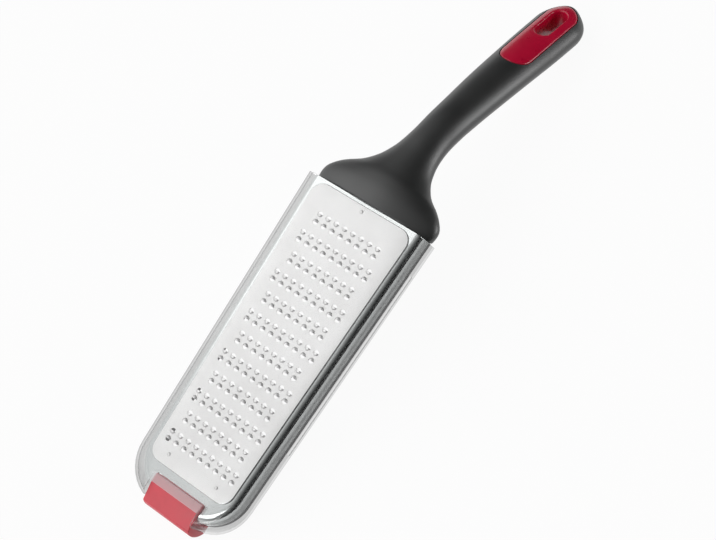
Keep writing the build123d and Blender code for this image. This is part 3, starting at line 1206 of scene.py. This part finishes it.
# %% The outline of the foot
foot_half_width = 0.0152
foot_reach = 0.0067
foot_length = 0.016
foot_top = 0.0012
foot_shelf = 0.0046
foot_slope_drop = 0.0028
foot_nose_depth = 0.0065
foot_nose_back = 0.0015
foot_bottom_depth = 0.016
foot_heel = 0.0034
foot_lower_length = 0.0135
nose_steps = 12
frame_top_depth = 0.0056
frame_bottom_depth = 0.0115
frame_tip_gap = 0.0009
frame_tip = plate_length - frame_tip_gap
nose_y = -plate_length - foot_reach


def arc_through(start, middle, end, count):
    """Points of the circle through three, from the first to the last."""
    (ax, ay), (bx, by), (cx, cy) = start, middle, end
    double = 2 * (ax * (by - cy) + bx * (cy - ay) + cx * (ay - by))
    squares = ax * ax + ay * ay, bx * bx + by * by, cx * cx + cy * cy
    centre_x = squares[0] * (by - cy) + squares[1] * (cy - ay) + squares[2] * (ay - by)
    centre_y = squares[0] * (cx - bx) + squares[1] * (ax - cx) + squares[2] * (bx - ax)
    centre_x, centre_y = centre_x / double, centre_y / double
    radius = math.hypot(ax - centre_x, ay - centre_y)
    first = math.atan2(ay - centre_y, ax - centre_x)
    via = (math.atan2(by - centre_y, bx - centre_x) - first) % math.tau
    last = (math.atan2(cy - centre_y, cx - centre_x) - first) % math.tau
    if via > last:
        last -= math.tau
    points = []
    for step in range(count + 1):
        angle = first + last * step / count
        points.append((centre_x + radius * math.cos(angle), centre_y + radius * math.sin(angle)))
    return points


foot_back = nose_y + foot_length
jaw_front = -frame_tip - seam
foot_profile = [
    (foot_back - foot_shelf, foot_top),
    (foot_back, foot_top),
    (foot_back, seam - frame_top_depth),
    (jaw_front, seam - frame_top_depth),
    (jaw_front, -frame_bottom_depth - seam),
    (nose_y + foot_lower_length, -frame_bottom_depth - seam),
    (nose_y + foot_lower_length, -foot_bottom_depth),
]
foot_profile += arc_through(
    (nose_y + foot_heel, -foot_bottom_depth),
    (nose_y, -foot_nose_depth),
    (nose_y + foot_nose_back, foot_top - foot_slope_drop),
    nose_steps,
)
print("points in the foot's outline:", len(foot_profile))

# %% [markdown]
# Two copies of the outline, one for each side, make the foot, and a bevel takes the edges
# off as the mould's radius does. Its red is a soft plastic: paler than the insert, with a
# wide sheen and no coat.

# %% The red foot
foot_edge_round = 0.0007
foot_edge_steps = 4
foot_edge_angle = math.radians(30)
foot_data, foot_rows = loft([
    [Vector((-foot_half_width, y, z)) for y, z in foot_profile],
    [Vector((foot_half_width, y, z)) for y, z in foot_profile],
])
for row in foot_rows:
    foot_data.faces.new(row)
bmesh.ops.recalc_face_normals(foot_data, faces=foot_data.faces)

soft_red, shader = drifting_finish(
    "soft_red",
    (0.70, 0.045, 0.07),
    drift=(120, 3.0),
    grain=(2400, 2.0),
    roughness=(0.42, 0.55),
    tones=((0.66, 0.040, 0.062), (0.74, 0.052, 0.078)),
    bump=0.00001,
    specular=0.8,
)
red_foot = mesh_object("red_foot", foot_data, [soft_red])
edges = red_foot.modifiers.new("edges", "BEVEL")
edges.width = foot_edge_round
edges.segments = foot_edge_steps
edges.limit_method = "ANGLE"
edges.angle_limit = foot_edge_angle
applied(red_foot)
red_foot.data.transform(head)
shade_by_angle(red_foot, degrees=40)
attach(red_foot, "rasp")
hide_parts("tip_foot")
print("faces in the foot:", len(red_foot.data.polygons))


# %% [markdown]
# The cover is a shallow clear tray, open at the handle's end. Like the plate it is a skin of
# rings with a notch for the foot, thickened inwards. It has a rib on each side for the
# fingers, so its rings have extra points where a rib starts and ends, and two pairs of rings
# lie along the rib's edges.

# %% Rings of the cover
cover_gap = 0.0004
cover_wall = 0.0012
cover_top = 0.0028
cover_depth = 0.014
cover_corner = 0.022
cover_round = 0.0034
cover_tip_gap = 0.0024
cover_round_steps = 8
cover_root_corner = 0.0002
rib_thickness = 0.0013
rib_depth = 0.0094
rib_root_margin = 0.018
rib_length = 0.102
rib_ease = 0.0003
cover_half_width = plate_half_width + cover_gap + cover_wall
cover_tip = plate_length + cover_tip_gap + cover_wall
cover_notch_half_width = foot_half_width + cover_gap
rib_start, rib_end = -rib_root_margin, -rib_root_margin - rib_length
rib_stops = (rib_start, rib_start - rib_ease, rib_end + rib_ease, rib_end)


def cover_ring(inset, height):
    return head_ring(
        cover_half_width - inset,
        cover_gap,
        cover_tip - inset,
        cover_root_corner,
        cover_corner - inset,
        height,
        stops=rib_stops,
    )


cover_rings = []
for step in range(cover_round_steps + 1):
    angle = math.pi / 2 * step / cover_round_steps
    inset = cover_round * (1 - math.sin(angle))
    cover_rings.append(cover_ring(inset, cover_top - cover_round * (1 - math.cos(angle))))
for height in (
    rib_ease - rib_depth,
    -rib_depth,
    -rib_depth - rib_thickness,
    -rib_depth - rib_thickness - rib_ease,
    -cover_depth,
):
    cover_rings.append(cover_ring(0, height))
print("rings in the cover:", len(cover_rings), "points in each:", len(cover_rings[0]))

# %% [markdown]
# The top of the cover is one face that closes the first ring. Then two places are opened:
# the side towards the handle, and the notch for the foot. The part of the top over the foot
# gets its own outline from three cuts, because its finish is another one there. Its faces
# point outwards before the skin gets a wall.

# %% The cover's skin
cover_data, cover_rows = loft(cover_rings)
cover_data.faces.new(cover_rows[0])
open_end = []
for face in cover_data.faces:
    if all(vertex.co.y > -2 * cover_gap for vertex in face.verts):
        open_end.append(face)
bmesh.ops.delete(cover_data, geom=open_end, context="FACES")
cut_notch(cover_data, cover_notch_half_width, foot_back - foot_shelf)
for spot, across in (
    ((0, foot_back, 0), (0, 1, 0)),
    ((cover_notch_half_width, 0, 0), (1, 0, 0)),
    ((-cover_notch_half_width, 0, 0), (1, 0, 0)),
):
    parts = cover_data.verts[:] + cover_data.edges[:] + cover_data.faces[:]
    bmesh.ops.bisect_plane(cover_data, geom=parts, plane_co=spot, plane_no=across)
for face in cover_data.faces:
    middle = face.calc_center_median()
    if middle.y < foot_back and abs(middle.x) < cover_notch_half_width:
        face.material_index = 1
bmesh.ops.recalc_face_normals(cover_data, faces=cover_data.faces)
top_face = max(cover_data.faces, key=lambda face: face.calc_area())
if top_face.normal.z < 0:
    bmesh.ops.reverse_faces(cover_data, faces=cover_data.faces)
frosted_faces = sum(face.material_index for face in cover_data.faces)
print("faces in the cover's skin:", len(cover_data.faces), "over the foot:", frosted_faces)

# %% [markdown]
# Clear plastic shows what is behind it, plus a reflection that grows as the surface turns
# away from the eye. A glass shader bends the light at each side of the wall, which renders
# slowly and blurs the teeth. So a transparent shader is mixed with a glossy one by the slant,
# and the same slant grays it, because more plastic lies on a slanted way through the wall.
# Faint moulding waves keep the reflection alive. Over the foot the cover looks milky, so
# that part has a share of rough white in it.

# %% Clear and frosted plastic
slant_span = (0.15, 0.60)
clear_tones = (0.99, 0.72)
glare_power = 5
glare_share = 0.7
least_glare = 0.03
frost_share = 0.3


def blend(material, share, first, second):
    """The second shader by its share, and the first for the rest, as the surface."""
    tree = material.node_tree
    inputs = {"Fac": share, 1: first, 2: second}
    blended = add_node(tree, "ShaderNodeMixShader", inputs)["Shader"]
    tree.links.new(blended, tree.nodes["Material Output"].inputs["Surface"])


clear_plastic, shader = new_finish("clear_plastic", (0.97, 0.975, 0.975), metallic=1.0)
waves = add_noise(clear_plastic, 35, 2.0)
add_roughness(clear_plastic, waves, shader, 0.04, 0.09)
add_bump(clear_plastic, waves, shader, 0.00004)
clear_tree = clear_plastic.node_tree
slant = add_node(clear_tree, "ShaderNodeLayerWeight", {"Blend": 0.5})["Facing"]
tone = add_span(clear_tree, slant, slant_span, clear_tones)
behind = add_node(clear_tree, "ShaderNodeBsdfTransparent", {"Color": tone})["BSDF"]
glare = add_math(clear_tree, "POWER", slant, glare_power)
glare = add_math(clear_tree, "MULTIPLY_ADD", glare, glare_share, least_glare)
blend(clear_plastic, glare, behind, shader.outputs["BSDF"])

frosted_plastic, shader = new_finish("frosted_plastic", (0.95, 0.90, 0.92), specular=0.5)
frost = add_noise(frosted_plastic, 900, 3.0)
add_roughness(frosted_plastic, frost, shader, 0.45, 0.60)
behind = add_node(frosted_plastic.node_tree, "ShaderNodeBsdfTransparent")["BSDF"]
blend(frosted_plastic, frost_share, behind, shader.outputs["BSDF"])
print("plastics:", clear_plastic.name, frosted_plastic.name)

# %% [markdown]
# Solidify gives the cover its wall. The ribs come after it: only the points of the outer
# wall between the rib's edges are pushed out, so the inside stays smooth, as on a moulded
# cover. On the thin skin before, the inside would have bulged with them.

# %% The clear cover
rib_height = 0.0008
clear_cover = mesh_object("clear_cover", cover_data, [clear_plastic, frosted_plastic])
wall = clear_cover.modifiers.new("wall", "SOLIDIFY")
wall.thickness = cover_wall
wall.offset = -1
wall.use_even_offset = True
applied(clear_cover)
taper_rate = plate_taper / plate_length
pushed = 0
for vertex in clear_cover.data.vertices:
    place = vertex.co
    outside_x = cover_half_width + place.y * taper_rate
    on_wall = abs(place.x) > outside_x - cover_wall / 4
    in_height = -rib_depth - rib_thickness - rib_ease / 2 < place.z < rib_ease / 2 - rib_depth
    in_length = rib_end + rib_ease / 2 < place.y < rib_start - rib_ease / 2
    if on_wall and in_height and in_length:
        place.x += math.copysign(rib_height, place.x)
        pushed += 1
clear_cover.data.transform(head)
shade_by_angle(clear_cover, degrees=40)
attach(clear_cover, "cover")
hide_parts("protective_cover")
print("faces in the cover:", len(clear_cover.data.polygons), "points in its ribs:", pushed)


# %% [markdown]
# The floor is pale and matt. A lit floor alone would come out gray and uneven. So rays from
# the eye, and those mirrored by the steel or seen through the cover, find it glowing, nearly
# white. Its matt part is a small share, and there the lamps draw a faint soft shadow.

# %% Floor
floor_half = 3.0
floor_gap = 0.0001
floor_glow = 0.94


def seen_by(tree, first, *others):
    """1 for the kinds of rays that are named, and 0 for all other rays."""
    path = add_node(tree, "ShaderNodeLightPath")
    seen = path[f"Is {first} Ray"]
    for kind in others:
        seen = add_math(tree, "MAXIMUM", seen, path[f"Is {kind} Ray"])
    return seen


floor_data = bmesh.new()
bmesh.ops.create_grid(floor_data, x_segments=1, y_segments=1, size=floor_half)
floor_finish, shader = new_finish("floor_finish", (0.90, 0.90, 0.90), specular=0.1)
shader.inputs["Roughness"].default_value = 0.9
floor_seen = seen_by(floor_finish.node_tree, "Camera", "Glossy", "Transmission")
glow = add_node(floor_finish.node_tree, "ShaderNodeEmission")["Emission"]
glow_share = add_math(floor_finish.node_tree, "MULTIPLY", floor_seen, floor_glow)
blend(floor_finish, glow_share, shader.outputs["BSDF"], glow)
floor = mesh_object("floor", floor_data, [floor_finish])
floor.location = (0, 0, min(cad_box[0][2], 0) - floor_gap)
print("the floor lies at", round(floor.location.z, 5))


# %% [markdown]
# A studio is bright on one side and dark on the other, and polished steel shows both: the
# dark line along the rolled rim is the dark wall on the right. A picture of a studio could
# give that, but here the world is only a gradient by direction: dim towards the right and
# towards the handle's end, and white to the eye and through the cover.

# %% Light from all round
side_span = (-0.5, 1.0)
side_light = (1.0, 0.0)
side_power = 1.9
end_span = (0.1, 0.6)
end_light = (1.1, 0.05)
world = bpy.data.worlds.new("studio")
bpy.context.scene.world = world
world.use_nodes = True
sky_tree = world.node_tree
sky = sky_tree.nodes["Background"]
sky.inputs["Color"].default_value = (1, 1, 1, 1)
direction = add_node(sky_tree, "ShaderNodeTexCoord")["Generated"]
axes = add_node(sky_tree, "ShaderNodeSeparateXYZ", {"Vector": direction})
from_side = add_span(sky_tree, axes["X"], side_span, side_light)
from_side = add_math(sky_tree, "POWER", from_side, side_power)
from_end = add_span(sky_tree, axes["Y"], end_span, end_light)
daylight = add_math(sky_tree, "MULTIPLY", from_side, from_end)
sky_seen = seen_by(sky_tree, "Camera", "Transmission")
sky_level = add_math(sky_tree, "MAXIMUM", sky_seen, daylight)
sky_tree.links.new(sky_level, sky.inputs["Strength"])
print("nodes in the sky:", len(sky_tree.nodes))

# %% [markdown]
# Three softboxes add what a gradient can't. The key, large and high on the left, gives the
# plateau its sheen. The fill, past the tip, opens the shadows there. The rim lamp, low on the
# handle's right, lights the side of its bend. The camera itself doesn't see them.

# %% Softboxes
def softbox(name, place, target, size, watts):
    lamp = bpy.data.lights.new(name, "AREA")
    lamp.shape = "RECTANGLE"
    lamp.size, lamp.size_y = size
    lamp.energy = watts
    lamp_object = bpy.data.objects.new(name, lamp)
    bpy.context.scene.collection.objects.link(lamp_object)
    lamp_object.location = place
    lamp_object.visible_camera = False
    facing = Vector(target) - Vector(place)
    lamp_object.rotation_euler = facing.to_track_quat("-Z", "Y").to_euler()
    print(name, "lamp:", watts, "watts from", round(facing.length, 2), "m")


softbox("key", place=(-0.75, 0.05, 0.85), target=(0, 0, 0.03), size=(0.7, 0.9), watts=1.6)
softbox("fill", place=(-0.1, -0.9, 0.8), target=(0, -0.05, 0.03), size=(0.6, 0.6), watts=3.0)
softbox("rim", place=(0.80, 0.66, 0.26), target=(0, 0.08, 0.03), size=(0.5, 0.4), watts=3.6)

# %% [markdown]
# The camera stands where the photograph was taken from. The even rows of teeth gave its
# place and its lens: it looks down over the right edge of the head from not quite a metre.

# %% Camera
camera_place = Vector((0.45325, -0.0739, 0.83168))
camera_target = Vector((0.0154, -0.0291, 0.0))
image_right = Vector((0.7531, 0.5459, -0.3671))
lens_mm = 100.56
sensor_mm = 36
backward = (camera_place - camera_target).normalized()
upward = backward.cross(image_right).normalized()
rightward = upward.cross(backward)
camera_data = bpy.data.cameras.new("camera")
camera_data.lens = lens_mm
camera_data.sensor_width = sensor_mm
camera = bpy.data.objects.new("camera", camera_data)
bpy.context.scene.collection.objects.link(camera)
camera.matrix_world = head @ Matrix.Translation(camera_place) @ Matrix(
    (rightward, upward, backward)
).transposed().to_4x4()
bpy.context.scene.camera = camera
bpy.context.scene.view_settings.view_transform = "Standard"
print("camera at", tuple(round(value, 3) for value in camera.location))

# %% [markdown]
# Last the scene is brought up to date. The box round all pieces was kept before the dressing.

# %% Update the scene
bpy.context.view_layer.update()
